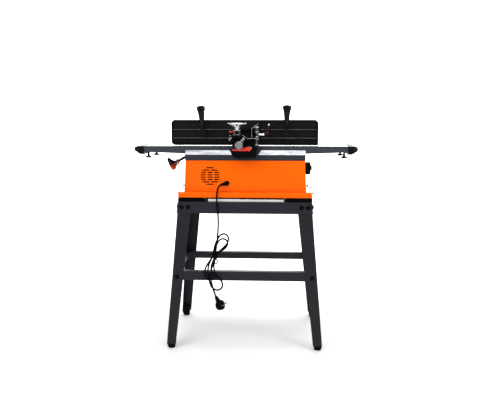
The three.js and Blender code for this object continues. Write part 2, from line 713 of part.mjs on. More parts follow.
function strainRelief() {
  const { x, z } = gland;
  const flange = rod([x, -123.6, z], [x, -129, z], 10, 9, 20);
  const neck = rod([x, -112, z], [x, -124, z], 5.4, 5.4, 12);
  const elbow = new THREE.SphereGeometry(8, 16, 10).translate(x, -131, z);
  const tail = rod([x, -131, z], [-97, -139, 657], 7.5, 4.6, 14);
  return join(flange, neck, elbow, tail);
}

// The lead hangs down the rear, passes the stretcher and ends at the plug.
const lead = [
  [-98.4, -139.6, 656.6], [-104, -141.8, 653.8], [-108.8, -145, 645], [-111.6, -149.5, 630],
  [-113, -158, 606], [-111, -167, 578], [-107, -173, 545], [-105, -179, 505], [-108, -185, 460],
  [-113, -189, 418], [-118, -192, 380], [-126, -193, 340], [-131, -193, 300], [-127, -193, 262],
  [-120, -193.5, 232], [-115, -194, 205],
];

function leadTube() {
  const path = new THREE.CatmullRomCurve3(lead.map((p) => new THREE.Vector3(...p)));
  const shape = new THREE.Shape().absarc(0, 0, cordRadius, 0, 2 * Math.PI);
  const along = { steps: 30, curveSegments: 8, extrudePath: path, bevelEnabled: false };
  return new THREE.ExtrudeGeometry(shape, along);
}

function leadHank() {
  const outline = [
    [-86, 466], [-72, 456], [-66, 438], [-72, 420], [-90, 400], [-108, 384], [-118, 366], [-126, 330],
    [-122, 300], [-104, 278], [-92, 258], [-92, 244], [-104, 238], [-124, 250], [-142, 280], [-150, 312],
    [-146, 344], [-132, 374], [-118, 396], [-108, 422], [-104, 448], [-98, 462],
  ];
  return prism("y", outline.reverse(), -210.5, -198);
}

function leadTie() {
  return cut(box([-135, -98], [-213.5, -185], [379, 389]), box([-132.5, -100.5], [-211.2, -187.4], [378, 390]));
}

function mainsPlug() {
  const { start, down, pins, body, radius, half, pinLength, spread } = plug;
  const boot = aim(turned([[0, 0], [5, 0], [6, 14], [9, 26], [0, 26]], 16), start, down);
  const point = (along) => body.map((v, i) => v + along * pins[i]);
  const disc = aim(turned([
    [0, 0], [radius - 5, 0], [radius, 6], [radius, 2 * half - 3], [radius - 3, 2 * half], [0, 2 * half],
  ], 24), point(-half), pins);
  const across = new THREE.Vector3(...pins).cross(new THREE.Vector3(...down)).normalize().toArray();
  const prongs = [-spread, spread].map((side) => {
    const foot = point(half - 1).map((v, i) => v + side * across[i]);
    return rod(foot, foot.map((v, i) => v + pinLength * pins[i]), 2.4, 2.4, 10);
  });
  return join(boot, disc, ...prongs);
}

function makeElectric() {
  const group = new THREE.Group();
  group.add(piece("cutter_guard", cutterGuard(), black));
  group.add(piece("switch_box", switchBox(), black));
  buttons.forEach((item) => group.add(piece(item.name, button(item), item.look)));
  group.add(piece("strain_relief", strainRelief(), rubber));
  group.add(piece("mains_lead", leadTube(), rubber));
  group.add(piece("lead_hank", leadHank(), rubber));
  group.add(piece("lead_tie", leadTie(), rubber));
  group.add(piece("mains_plug", mainsPlug(), rubber));
  return group;
}

const jointer = new THREE.Group();
jointer.add(makeStand(), makeBody(), makeDrive(), makeFence(), makeElectric());

export default jointer;
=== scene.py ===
import math
import random

import bmesh
import bpy
import numpy as np
from mathutils import Matrix, Vector


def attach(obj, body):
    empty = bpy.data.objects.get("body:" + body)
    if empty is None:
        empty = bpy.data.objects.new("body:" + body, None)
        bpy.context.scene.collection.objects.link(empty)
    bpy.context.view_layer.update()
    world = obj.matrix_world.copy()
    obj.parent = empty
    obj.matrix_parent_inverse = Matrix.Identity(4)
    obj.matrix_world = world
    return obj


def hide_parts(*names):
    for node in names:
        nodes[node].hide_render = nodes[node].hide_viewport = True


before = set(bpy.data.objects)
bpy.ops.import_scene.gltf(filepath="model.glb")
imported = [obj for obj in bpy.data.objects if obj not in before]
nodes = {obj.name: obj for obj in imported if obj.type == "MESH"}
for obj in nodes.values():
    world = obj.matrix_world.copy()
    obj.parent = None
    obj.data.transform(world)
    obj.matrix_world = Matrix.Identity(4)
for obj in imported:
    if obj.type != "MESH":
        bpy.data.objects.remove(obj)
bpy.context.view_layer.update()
mm = 0.001
lift = 11.0  # heights below are in mm above the legs' datum, which is this far above the floor
raised = Vector((0, 0, lift))
random.seed(7)
print("frame loaded:", len(nodes), "nodes")

# ---- camera
cameraView = {"place": (0.135066, -2.515364, 0.951645), "turn": 0.048, "down": 0.144, "lens": 42.594}


def makeCamera(view):
    data = bpy.data.cameras.new("camera")
    data.sensor_width = 36
    data.lens = view["lens"]
    camera = bpy.data.objects.new("camera", data)
    camera.location = view["place"]
    camera.rotation_euler = (math.pi / 2 - view["down"], 0, view["turn"])
    bpy.context.collection.objects.link(camera)
    bpy.context.scene.camera = camera


makeCamera(cameraView)
print("camera ready")


# ---- finishes: every one is built from nodes in the object's own space
def addNode(tree, kind, values=None, **props):
    node = tree.nodes.new(kind)
    for name, value in props.items():
        setattr(node, name, value)
    for name, value in (values or {}).items():
        node.inputs[name].default_value = value
    return node


def noiseNode(tree, coords, size, detail=3.0, stretch=None):
    # size is the spacing of the blotches in metres
    source = coords
    if stretch:
        mapping = addNode(tree, "ShaderNodeMapping", {"Scale": stretch})
        tree.links.new(coords, mapping.inputs["Vector"])
        source = mapping.outputs["Vector"]
    noise = addNode(tree, "ShaderNodeTexNoise", {"Scale": 1 / size, "Detail": detail, "Roughness": 0.6})
    tree.links.new(source, noise.inputs["Vector"])
    return noise.outputs["Fac"]


def ranged(tree, value, low, high, toLow, toHigh):
    span = addNode(tree, "ShaderNodeMapRange", {
        "From Min": low, "From Max": high, "To Min": toLow, "To Max": toHigh})
    tree.links.new(value, span.inputs["Value"])
    return span.outputs["Result"]


def mixed(tree, factor, first, second):
    # first and second are colours or outputs
    mix = addNode(tree, "ShaderNodeMix", data_type="RGBA")
    for socket, value in ((mix.inputs[0], factor), (mix.inputs[6], first), (mix.inputs[7], second)):
        if isinstance(value, bpy.types.NodeSocket):
            tree.links.new(value, socket)
        else:
            socket.default_value = value
    return mix.outputs[2]


def math2(tree, operation, first, second, clamp=False):
    node = addNode(tree, "ShaderNodeMath", operation=operation, use_clamp=clamp)
    for socket, value in zip(node.inputs, (first, second)):
        if isinstance(value, bpy.types.NodeSocket):
            tree.links.new(value, socket)
        else:
            socket.default_value = value
    return node.outputs[0]


def rgba(colour, times=1.0):
    return (*[min(1.0, c * times) for c in colour], 1.0)


def edgeMask(tree, radius):
    # where the rounded normal leaves the true one, which is along the edges
    bevel = addNode(tree, "ShaderNodeBevel", {"Radius": radius}, samples=4)
    true = addNode(tree, "ShaderNodeNewGeometry")
    dot = addNode(tree, "ShaderNodeVectorMath", operation="DOT_PRODUCT")
    tree.links.new(bevel.outputs["Normal"], dot.inputs[0])
    tree.links.new(true.outputs["True Normal"], dot.inputs[1])
    return bevel.outputs["Normal"], ranged(tree, dot.outputs["Value"], 0.995, 0.86, 0.0, 1.0)


def finish(name, colour, rough=0.4, metal=0.0, patch=0.06, patchShade=0.85, roughSpread=0.08,
           grain=0.0008, grainDepth=0.00005, grainDetail=2.0, stretch=None, edge=0.0012, wear=0.0,
           wearColour=(0.5, 0.5, 0.5), wearMetal=1.0, coat=0.0, coatRough=0.15, specular=0.5,
           dust=0.0, second=None):
    material = bpy.data.materials.new(name)
    material.use_nodes = True
    tree = material.node_tree
    shader = tree.nodes["Principled BSDF"]
    shader.inputs["Metallic"].default_value = metal
    shader.inputs["Coat Weight"].default_value = coat
    shader.inputs["Coat Roughness"].default_value = coatRough
    shader.inputs["Specular IOR Level"].default_value = specular
    coords = addNode(tree, "ShaderNodeTexCoord").outputs["Object"]
    blotch = noiseNode(tree, coords, patch, 4.0, stretch)
    base = mixed(tree, ranged(tree, blotch, 0.35, 0.7, 0.0, 1.0), rgba(colour), rgba(colour, patchShade))
    fine = noiseNode(tree, coords, grain, grainDetail, stretch)
    roughness = ranged(tree, blotch, 0.3, 0.7, max(0.02, rough - roughSpread), rough + roughSpread)
    normal, edges = edgeMask(tree, edge)
    if second:  # another finish on the faces that the mask picks out
        mask = second["mask"](tree, coords)
        other = mixed(tree, noiseRamp(tree, coords, second), rgba(second["colour"]), rgba(second["dark"]))
        base = mixed(tree, mask, base, other)
        metallic = ranged(tree, mask, 0.0, 1.0, metal, second["metal"])
        tree.links.new(metallic, shader.inputs["Metallic"])
        smooth = ranged(tree, noiseRamp(tree, coords, second), 0.0, 1.0, *second["rough"])
        keep = math2(tree, "MULTIPLY", roughness, math2(tree, "SUBTRACT", 1.0, mask))
        roughness = math2(tree, "ADD", keep, math2(tree, "MULTIPLY", smooth, mask))
    if wear:
        chip = ranged(tree, noiseNode(tree, coords, 0.006, 5.0), 0.5, 0.62, 0.0, wear)
        worn = math2(tree, "MULTIPLY", edges, chip, clamp=True)
        base = mixed(tree, worn, base, rgba(wearColour))
        if not second and wearMetal != metal:
            tree.links.new(ranged(tree, worn, 0.0, 1.0, metal, wearMetal), shader.inputs["Metallic"])
    if dust:
        settled = ranged(tree, noiseNode(tree, coords, 0.02, 6.0), 0.5, 0.75, 0.0, dust)
        base = mixed(tree, settled, base, (0.45, 0.38, 0.3, 1.0))
    tree.links.new(base, shader.inputs["Base Color"])
    tree.links.new(roughness, shader.inputs["Roughness"])
    bump = addNode(tree, "ShaderNodeBump", {"Strength": 1.0, "Distance": grainDepth})
    tree.links.new(fine, bump.inputs["Height"])
    tree.links.new(normal, bump.inputs["Normal"])
    tree.links.new(bump.outputs["Normal"], shader.inputs["Normal"])
    return material


def noiseRamp(tree, coords, look):
    noise = noiseNode(tree, coords, look["patch"], 5.0, look.get("stretch"))
    return ranged(tree, noise, look["ramp"][0], look["ramp"][1], 0.0, 1.0)


def ownNormal(tree, axis):
    normal = addNode(tree, "ShaderNodeTexCoord").outputs["Normal"]
    parts = addNode(tree, "ShaderNodeSeparateXYZ")
    tree.links.new(normal, parts.inputs[0])
    return parts.outputs[axis]


def topFaces(tree, coords):
    return ranged(tree, ownNormal(tree, "Z"), 0.3, 0.45, 0.0, 1.0)


# painted reflection: picks the upward sloping faces, which get a light speckled metal colour for the
# backdrop reflected in the bed's shoulders
def slopeFaces(tree, coords):
    up = ownNormal(tree, "Z")
    above = ranged(tree, up, 0.55, 0.65, 0.0, 1.0)
    below = ranged(tree, up, 0.93, 0.85, 0.0, 1.0)
    return math2(tree, "MULTIPLY", above, below)


def lowerLobe(tree, coords):
    # painted light and shade: the side of the depth knob below a plane through it at rest turns orange-red,
    # the rest stays dark
    along = addNode(tree, "ShaderNodeVectorMath", operation="DOT_PRODUCT")
    along.inputs[1].default_value = (0.5, 0.0, -0.866)
    tree.links.new(coords, along.inputs[0])
    return ranged(tree, along.outputs["Value"], -0.8005, -0.7985, 0.0, 1.0)


def leverTip(tree, coords):
    parts = addNode(tree, "ShaderNodeSeparateXYZ")
    tree.links.new(coords, parts.inputs[0])
    return ranged(tree, parts.outputs["Z"], 0.9055, 0.9065, 0.0, 1.0)


paint = {
    "stand": dict(colour=(0.016, 0.0165, 0.02), rough=0.42, patch=0.12, patchShade=0.8, grain=0.0016,
                  grainDepth=0.00006, edge=0.0012, wear=0.15, wearColour=(0.08, 0.08, 0.09), specular=0.12),
    "rail": dict(colour=(0.017, 0.0185, 0.025), rough=0.4, patch=0.12, patchShade=0.82, grain=0.0016,
                 grainDepth=0.00006, edge=0.0012, wear=0.15, wearColour=(0.1, 0.1, 0.11), specular=0.14),
    "orange": dict(colour=(1.0, 0.13, 0.0), rough=0.24, patch=0.25, patchShade=0.88, roughSpread=0.05,
                   grain=0.0022, grainDepth=0.00004, edge=0.0016, wear=0.15, wearColour=(1.0, 0.42, 0.12),
                   wearMetal=0.0, coat=0.0, coatRough=0.1, specular=0.14),
    "tray": dict(colour=(1.0, 0.125, 0.0), rough=0.2, patch=0.25, patchShade=0.9, roughSpread=0.04,
                 grain=0.004, grainDepth=0.00001, edge=0.005, wear=0.0, specular=0.16),
    "bed": dict(colour=(0.027, 0.029, 0.038), rough=0.45, patch=0.05, patchShade=0.8, grain=0.0014,
                grainDepth=0.0001, edge=0.0012, wear=0.3, wearColour=(0.12, 0.125, 0.14), specular=0.14,
                # painted reflection: light speckled metal on the sloped shoulders stands in for the
                # backdrop reflected in them
                second=dict(mask=slopeFaces, colour=(0.52, 0.53, 0.55), dark=(0.3, 0.32, 0.36), metal=0.8,
                            rough=(0.3, 0.45), patch=0.014, stretch=(0.35, 1.0, 1.0), ramp=(0.4, 0.66))),
    "table": dict(colour=(0.042, 0.045, 0.058), rough=0.42, patch=0.05, patchShade=0.85, grain=0.0014,
                  grainDepth=0.00004, edge=0.0006, wear=0.3, wearColour=(0.12, 0.125, 0.14), specular=0.14,
                  second=dict(mask=topFaces, colour=(0.58, 0.59, 0.6), dark=(0.5, 0.51, 0.53), metal=0.7,
                              rough=(0.14, 0.22), patch=0.004, stretch=(0.04, 1.0, 1.0),
                              ramp=(0.35, 0.65))),
    "fence": dict(colour=(0.0055, 0.0055, 0.006), rough=0.5, patch=0.02, patchShade=0.7, grain=0.0014,
                  grainDepth=0.0004, grainDetail=4.0, edge=0.0016, wear=0.18, wearColour=(0.03, 0.03, 0.03),
                  wearMetal=0.0, specular=0.1),
    # painted highlight: a lighter finish for strips along the fence's rib tops, where light catches them
    "ribHighlight": dict(colour=(0.13, 0.13, 0.135), rough=0.5, patch=0.01, patchShade=0.25, grain=0.0012,
                   grainDepth=0.0001, edge=0.0006, specular=0.2),
    "carriage": dict(colour=(0.002, 0.002, 0.0022), rough=0.45, patch=0.02, patchShade=0.7, grain=0.0012,
                     grainDepth=0.0002, grainDetail=4.0, edge=0.002, wear=0.9, wearColour=(0.09, 0.09, 0.1),
                     wearMetal=0.3, specular=0.05),
    "plastic": dict(colour=(0.005, 0.005, 0.0055), rough=0.38, patch=0.03, patchShade=0.85, grain=0.0006,
                    grainDepth=0.00006, edge=0.0015, specular=0.06),
    "grip": dict(colour=(0.005, 0.005, 0.0055), rough=0.2, patch=0.02, patchShade=0.9, roughSpread=0.05,
                 grain=0.0008, grainDepth=0.00001, edge=0.001, specular=0.16),
    "bolt": dict(colour=(0.001, 0.001, 0.0012), rough=0.2, patch=0.01, patchShade=0.9, roughSpread=0.03,
                 grain=0.0008, grainDepth=0.00001, edge=0.0006, specular=0.06),
    "rubber": dict(colour=(0.003, 0.003, 0.003), rough=0.7, patch=0.02, patchShade=0.8, grain=0.0006,
                   grainDepth=0.0001, edge=0.0015, specular=0.03, dust=0.01),
    "cord": dict(colour=(0.003, 0.003, 0.0035), rough=0.5, patch=0.03, patchShade=0.85, grain=0.0005,
                 grainDepth=0.00002, edge=0.0005, specular=0.03),
    "chrome": dict(colour=(0.86, 0.87, 0.88), rough=0.1, metal=1.0, patch=0.02, patchShade=0.9,
                   roughSpread=0.04, grain=0.002, grainDepth=0.00001, edge=0.0008),
    # painted light: pale finish of the strip that stands in for the backdrop seen through the gap under the
    # tray
    "gapLight": dict(colour=(0.9, 0.89, 0.86), rough=0.9, patch=0.03, patchShade=0.93, grain=0.003,
                 grainDepth=0.0004, edge=0.001, specular=0.1),
    "darkSteel": dict(colour=(0.26, 0.26, 0.27), rough=0.3, metal=1.0, patch=0.006, patchShade=0.7,
                    grain=0.0006, grainDepth=0.00003, edge=0.0008, wear=0.9, wearColour=(0.8, 0.8, 0.8)),
    "steel": dict(colour=(0.58, 0.58, 0.59), rough=0.28, metal=1.0, patch=0.004, patchShade=0.75,
                  grain=0.0005, grainDepth=0.00003, stretch=(1.0, 1.0, 6.0), edge=0.0008),
    "blackSteel": dict(colour=(0.03, 0.03, 0.032), rough=0.3, metal=0.7, patch=0.008, patchShade=0.7,
                       grain=0.0006, grainDepth=0.00003, edge=0.0008, wear=0.8, wearColour=(0.4, 0.4, 0.4)),
    "red": dict(colour=(0.72, 0.02, 0.012), rough=0.28, patch=0.02, patchShade=0.8, grain=0.001,
                grainDepth=0.00003, edge=0.0012, coat=0.3, specular=0.45),
    "guard": dict(colour=(0.55, 0.02, 0.015), rough=0.35, patch=0.03, patchShade=0.85, grain=0.0015,
                  grainDepth=0.00006, edge=0.0015, wear=0.5, wearColour=(0.4, 0.38, 0.36)),
    "green": dict(colour=(0.003, 0.1, 0.018), rough=0.3, patch=0.02, patchShade=0.85, grain=0.001,
                  grainDepth=0.00002, edge=0.001, specular=0.1),
    "knob": dict(colour=(0.014, 0.014, 0.015), rough=0.38, patch=0.02, patchShade=0.8, grain=0.0008,
                 grainDepth=0.00006, edge=0.002, specular=0.45,
                 # painted light and shade: dark on the knob's upper side, orange-red on its lower side
                 second=dict(mask=lowerLobe, colour=(0.62, 0.085, 0.02), dark=(0.5, 0.06, 0.012), metal=0.0,
                             rough=(0.35, 0.45), patch=0.01, ramp=(0.4, 0.6))),
    # painted shade: the red tilt lever is given a near-black red, its shaded tone
    "tiltLever": dict(colour=(0.05, 0.003, 0.0025), rough=0.3, patch=0.02, patchShade=0.8, grain=0.0008,
                      grainDepth=0.00003, edge=0.001, specular=0.2,
                      second=dict(mask=leverTip, colour=(0.8, 0.81, 0.82), dark=(0.6, 0.6, 0.62), metal=1.0,
                                  rough=(0.15, 0.25), patch=0.006, ramp=(0.4, 0.6))),
    "wire": dict(colour=(0.4, 0.1, 0.03), rough=0.4, patch=0.01, patchShade=0.8, grain=0.0006,
                 grainDepth=0.00004, edge=0.0006),
    "motor": dict(colour=(0.03, 0.032, 0.036), rough=0.5, patch=0.03, patchShade=0.8, grain=0.0012,
                  grainDepth=0.0001, edge=0.001, wear=0.4, dust=0.2),
    "belt": dict(colour=(0.012, 0.012, 0.012), rough=0.6, patch=0.01, patchShade=0.8, grain=0.0008,
                 grainDepth=0.0001, edge=0.0008, dust=0.2),
    "brass": dict(colour=(0.3, 0.28, 0.25), rough=0.3, metal=1.0, patch=0.004, patchShade=0.8,
                  grain=0.0006, grainDepth=0.00002, edge=0.0004),
}
looks = {name: finish(name, **values) for name, values in paint.items()}

nodeLooks = {
    "leg": "stand", "foot_cap": "rubber", "top_rail": "rail", "stretcher": "rail",
    "base_pads": "rubber", "base_tray": "tray", "cabinet": "orange", "bed_casting": "bed",
    "infeed_table": "table", "outfeed_table": "table", "infeed_end_support": "plastic",
    "outfeed_end_support": "plastic", "infeed_lock_knob": "plastic", "outfeed_lock_knob": "plastic",
    "depth_screw": "blackSteel", "depth_hand_knob": "knob", "motor": "motor", "motor_pulley": "steel",
    "drive_belt": "belt", "cutter_pulley": "steel", "cutterblock": "steel", "knife": "chrome",
    "bearing": "steel", "fence": "fence", "tilt_bracket": "carriage", "tilt_lock_lever": "tiltLever",
    "slide_bed": "carriage", "fence_carriage": "carriage", "clamp_handwheel": "chrome",
    "clamp_block": "chrome", "slide_lock_handle": "darkSteel", "cam_lever": "red",
    "tilt_stop_bolt": "chrome", "infeed_fence_lever": "grip", "outfeed_fence_lever": "grip",
    "cutter_guard": "guard", "switch_box": "plastic", "start_button": "green", "stop_button": "red",
    "strain_relief": "rubber", "mains_lead": "cord", "lead_hank": "cord", "lead_tie": "cord",
    "mains_plug": "rubber",
}
for name, node in nodes.items():
    key = max((k for k in nodeLooks if name.startswith(k)), key=len)
    for place in node.material_slots:
        place.material = looks[nodeLooks[key]]
print("finishes ready:", len(looks))


# ---- making meshes
def addPiece(name, mesh, look, body, replaced=()):
    piece = bpy.data.objects.new(name, mesh)
    bpy.context.collection.objects.link(piece)
    if mesh.materials:
        mesh.materials[0] = looks[look]
    else:
        mesh.materials.append(looks[look])
    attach(piece, body)
    if replaced:
        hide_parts(*replaced)
    return piece


def smoothed(mesh, angle=35):
    for face in mesh.polygons:
        face.use_smooth = True
    mesh.set_sharp_from_angle(angle=math.radians(angle))
    return mesh


def toMesh(name, build, angle=35):
    bmesh.ops.remove_doubles(build, verts=build.verts, dist=1e-6)
    bmesh.ops.recalc_face_normals(build, faces=build.faces)
    mesh = bpy.data.meshes.new(name)
    build.to_mesh(mesh)
    build.free()
    return smoothed(mesh, angle)


def softened(profile, size, steps=3):
    # rounds the corners of a profile of (radius, height) pairs
    points = [Vector(p) for p in profile]
    out = [points[0]]
    for before, corner, after in zip(points, points[1:], points[2:]):
        a = corner + (before - corner) * min(0.45, size / max(1e-9, (before - corner).length))
        b = corner + (after - corner) * min(0.45, size / max(1e-9, (after - corner).length))
        for i in range(steps + 1):
            t = i / steps
            out.append(a * (1 - t) ** 2 + corner * 2 * t * (1 - t) + b * t ** 2)
    out.append(points[-1])
    return [tuple(p) for p in out]


def aimed(start, direction):
    turn = Vector((0, 0, 1)).rotation_difference(Vector(direction))
    return Matrix.Translation(Vector(start)) @ turn.to_matrix().to_4x4()


def addTurned(build, profile, start=(0, 0, 0), direction=(0, 0, 1), sides=40, shape=None):
    # shape(angle, radius, height) changes the radius round the turn; all sizes in mm
    place = Matrix.Scale(mm, 4) @ Matrix.Translation(raised) @ aimed(start, direction)
    rings = []
    for radius, height in profile:
        if radius < 1e-6:
            rings.append([build.verts.new(place @ Vector((0, 0, height)))])
            continue
        ring = []
        for i in range(sides):
            angle = 2 * math.pi * i / sides
            r = shape(angle, radius, height) if shape else radius
            ring.append(build.verts.new(place @ Vector((r * math.cos(angle), r * math.sin(angle), height))))
        rings.append(ring)
    for low, high in zip(rings, rings[1:]):
        for i in range(sides):
            j = (i + 1) % sides
            corners = [low[i % len(low)], low[j % len(low)], high[j % len(high)], high[i % len(high)]]
            unique = list(dict.fromkeys(corners))
            if len(unique) > 2:
                build.faces.new(unique)
    for ring in (rings[0], rings[-1]):
        if len(ring) > 1:
            build.faces.new(ring)


def turnedPiece(name, profile, start, direction, look, body, replaced=(), sides=40,
                round=0.0, shape=None):
    build = bmesh.new()
    addTurned(build, softened(profile, round) if round else profile, start, direction, sides, shape)
    return addPiece(name, toMesh(name, build), look, body, replaced)


slabOrders = {
    "x": lambda a, b, c: (c, a, b),
    "y": lambda a, b, c: (a, c, b),
    "z": lambda a, b, c: (a, b, c),
}


def addSlab(build, outline, axis, low, high):
    # an outline in mm pushed along an axis: (y, z) along x, (x, z) along y, (x, y) along z
    order = slabOrders[axis]
    ends = [[build.verts.new((Vector(order(a, b, c)) + raised) * mm) for a, b in outline]
            for c in (low, high)]
    count = len(outline)
    for i in range(count):
        j = (i + 1) % count
        build.faces.new([ends[0][i], ends[0][j], ends[1][j], ends[1][i]])
    build.faces.new(ends[0])
    build.faces.new(list(reversed(ends[1])))


def oblong(across, up):
    return [(across[0], up[0]), (across[1], up[0]), (across[1], up[1]), (across[0], up[1])]


def slabPiece(name, slabs, look, body, replaced=(), bevel=0.6):
    build = bmesh.new()
    for slab in slabs:
        addSlab(build, *slab)
    bmesh.ops.recalc_face_normals(build, faces=build.faces)
    mesh = bpy.data.meshes.new(name)
    build.to_mesh(mesh)
    build.free()
    for face in mesh.polygons:
        face.use_smooth = True
    piece = addPiece(name, mesh, look, body, replaced)
    rounding = piece.modifiers.new("rounding", "BEVEL")
    rounding.width = bevel * mm
    rounding.segments = 3
    rounding.limit_method = "ANGLE"
    weighted = piece.modifiers.new("shading", "WEIGHTED_NORMAL")
    weighted.keep_sharp = True
    return piece


def tubeMesh(build, path, radius, sides=10):
    # a closed tube of points in mm
    points = [(Vector(p) + raised) * mm for p in path]
    up = Vector((0, 0, 1))
    rings = []
    for i, point in enumerate(points):
        along = (points[min(i + 1, len(points) - 1)] - points[max(i - 1, 0)]).normalized()
        side = (up - along * up.dot(along))
        if side.length < 0.2:
            side = Vector((0, 1, 0)) - along * along.y
        side.normalize()
        other = along.cross(side)
        up = side
        r = radius(i / (len(points) - 1)) * mm if callable(radius) else radius * mm
        rings.append([build.verts.new(point + (side * math.cos(a) + other * math.sin(a)) * r)
                      for a in (2 * math.pi * k / sides for k in range(sides))])
    for low, high in zip(rings, rings[1:]):
        for k in range(sides):
            build.faces.new([low[k], low[(k + 1) % sides], high[(k + 1) % sides], high[k]])
    build.faces.new(list(reversed(rings[0])))
    build.faces.new(rings[-1])


def curvePoints(knots, spacing=4.0):
    # a smooth line through the knots, in mm
    points = [Vector(k) for k in knots]
    points = [2 * points[0] - points[1]] + points + [2 * points[-1] - points[-2]]
    line = []
    for a, b, c, d in zip(points, points[1:], points[2:], points[3:]):
        steps = max(2, round((c - b).length / spacing))
        for i in range(steps):
            t = i / steps
            line.append(0.5 * (2 * b + (c - a) * t + (2 * a - 5 * b + 4 * c - d) * t * t
                               + (3 * b - a - 3 * c + d) * t ** 3))
    line.append(points[-2])
    return line


# ---- mains lead: down the rear, tied in a hank with its loops above and below, then to the plug
lead = {
    "diameter": 7.0, "length": 1.46, "clear": 7.3, "settle": 60, "stiffness": 0.1, "push": 0.25,
    "neighbours": 9, "startHold": (6, 10), "endHold": (7, 6), "rearmost": -219.0,
}
leadRoute = [
    (-94, -137.6, 657.9), (-98.6, -139.7, 656.1), (-104.2, -142.8, 651.6), (-108.6, -146.4, 643.2),
    (-111.4, -150.4, 630), (-113, -158, 606), (-111, -167, 578), (-107, -173, 545), (-105, -180, 505),
    (-107, -186, 460), (-111, -192, 420),
    # through the tie, then the long loop below
    (-117, -196.9, 382), (-122, -197, 362), (-131, -197, 342), (-135.5, -197, 322), (-128, -197.5, 303),
    (-109, -198, 289), (-94, -198, 276), (-86, -198, 260), (-89, -198, 242.5), (-103, -198, 232.5),
    (-119.5, -198, 233.5), (-132, -198.5, 244.5), (-139, -199, 262), (-144, -200, 285), (-147, -200.5, 308),
    (-144.5, -201, 332), (-137, -201, 354), (-128, -201, 370),
    # up to the tall loop above the tie
    (-122.8, -201.1, 382), (-122, -201, 398), (-119, -202, 414), (-112, -203, 432), (-104.5, -204, 450),
    (-94.5, -204.5, 464.5), (-79.5, -205, 470.5), (-65, -204.5, 463), (-60, -204, 446.5), (-66, -203, 430),
    (-79, -202, 415), (-97, -201.5, 398),
    # down to the short loop below
    (-111.2, -201.1, 382), (-116, -203, 364), (-121, -205, 346), (-122, -206, 328), (-117.5, -206, 310),
    (-117, -206, 292.5), (-128.5, -206.5, 280), (-145, -207, 279.5), (-157.5, -207.5, 290.5),
    (-160, -208, 308), (-155, -208, 328), (-146, -208, 346), (-133.5, -208, 364),
    # up to the low loop above
    (-120.6, -208, 382), (-117, -209.5, 399), (-111.5, -211, 416), (-106, -212, 433), (-96, -212, 447.5),
    (-80.5, -212, 451.5), (-67, -212, 443.5), (-63.5, -212, 428.5), (-70, -210.5, 414), (-83, -209.5, 404),
    (-99, -209, 394),
    # and away to the plug
    (-113.4, -208, 382), (-118, -210, 364), (-126, -212.5, 342), (-132, -213.5, 318), (-134, -213, 292),
    (-131, -210, 266), (-126, -205, 243), (-121, -200, 224), (-116.5, -195.4, 207), (-113, -193.9, 199.5),
]


def settledLead(route, s):
    # eases the bends, and keeps the runs a diameter apart; both ends are held still
    line = np.array(curvePoints(route))
    count = len(line)
    index = np.arange(count)
    near = np.abs(index[:, None] - index[None, :]) < s["neighbours"]
    held, rise = s["startHold"]
    start = np.clip((index - held) / rise, 0, 1)
    held, rise = s["endHold"]
    free = start * np.clip((count - held - index) / rise, 0, 1)
    farApart = 1e3
    for _ in range(s["settle"]):
        middle = (np.roll(line, 1, 0) + np.roll(line, -1, 0)) / 2
        line = line + (middle - line) * (s["stiffness"] * free)[:, None]
        between = line[:, None] - line[None, :]
        apart = np.linalg.norm(between, axis=2)
        apart[near] = farApart
        push = np.clip(s["clear"] - apart, 0, None) * s["push"]
        moved = ((between / np.maximum(apart, 0.1)[..., None]) * push[..., None]).sum(1)
        line = line + moved * free[:, None]
        line[:, 1] = np.maximum(line[:, 1], s["rearmost"])
    return line


def makeLead(route, s):
    line = (settledLead(route, s) + np.array(raised)) * mm
    curve = bpy.data.curves.new("mainsLead", "CURVE")
    curve.dimensions = "3D"
    curve.bevel_depth = s["diameter"] / 2 * mm
    curve.bevel_resolution = 5
    curve.use_fill_caps = True
    spline = curve.splines.new("POLY")
    spline.points.add(len(line) - 1)
    for point, place in zip(spline.points, line):
        point.co = (*place, 1.0)
    piece = bpy.data.objects.new("mainsLead", curve)
    bpy.context.collection.objects.link(piece)
    curve.materials.append(looks["cord"])
    steps = np.linalg.norm(np.diff(line, axis=0), axis=1)
    print("lead length", round(float(steps.sum()), 3), "points", len(line))
    return piece


mainsLead = makeLead(leadRoute, lead)
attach(mainsLead, "base")
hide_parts("mains_lead", "lead_hank")

# the tie is a coated wire twisted round the runs, with curled ends
tie = {
    "wire": 2.1, "turns": 4, "middle": (-117, -203, 383), "reach": 12.4, "pitch": 5.2,
    "ripple": 0.5, "oval": 0.93, "slant": 1.6, "steps": 24, "spacing": 1.5,
}


def makeTie(s):
    build = bmesh.new()
    x, y, z = s["middle"]
    wrap = []
    for i in range(s["turns"] * s["steps"] + 1):
        angle = 2 * math.pi * i / s["steps"]
        r = s["reach"] + s["ripple"] * math.sin(3 * angle)
        rise = s["pitch"] * (i / s["steps"] - s["turns"] / 2)
        wrap.append((x + r * math.cos(angle), y + s["oval"] * r * math.sin(angle),
                     z + rise + s["slant"] * math.cos(angle)))
    tubeMesh(build, wrap, s["wire"])
    curl = [(9, -8, -6), (9, -10, -12), (2, -10, -17), (-3, -10, -25), (0, -10, -33),
            (8, -10, -34), (12, -9.5, -27), (8, -9, -19), (0, -9, -17)]
    tail = [(-10, -8, 5), (-15, -10, 8), (-19, -10, 3), (-22, -9, -2)]
    spur = [(8, -9, 2), (15, -11, 6), (20, -10, 0), (23, -9, 3)]
    for end in (curl, tail, spur):
        placed = [(x + a, y + b, z + c) for a, b, c in end]
        tubeMesh(build, curvePoints(placed, s["spacing"]), s["wire"])
    return addPiece("leadTie", toMesh("leadTie", build), "cord", "base", ["lead_tie"])


leadTie = makeTie(tie)

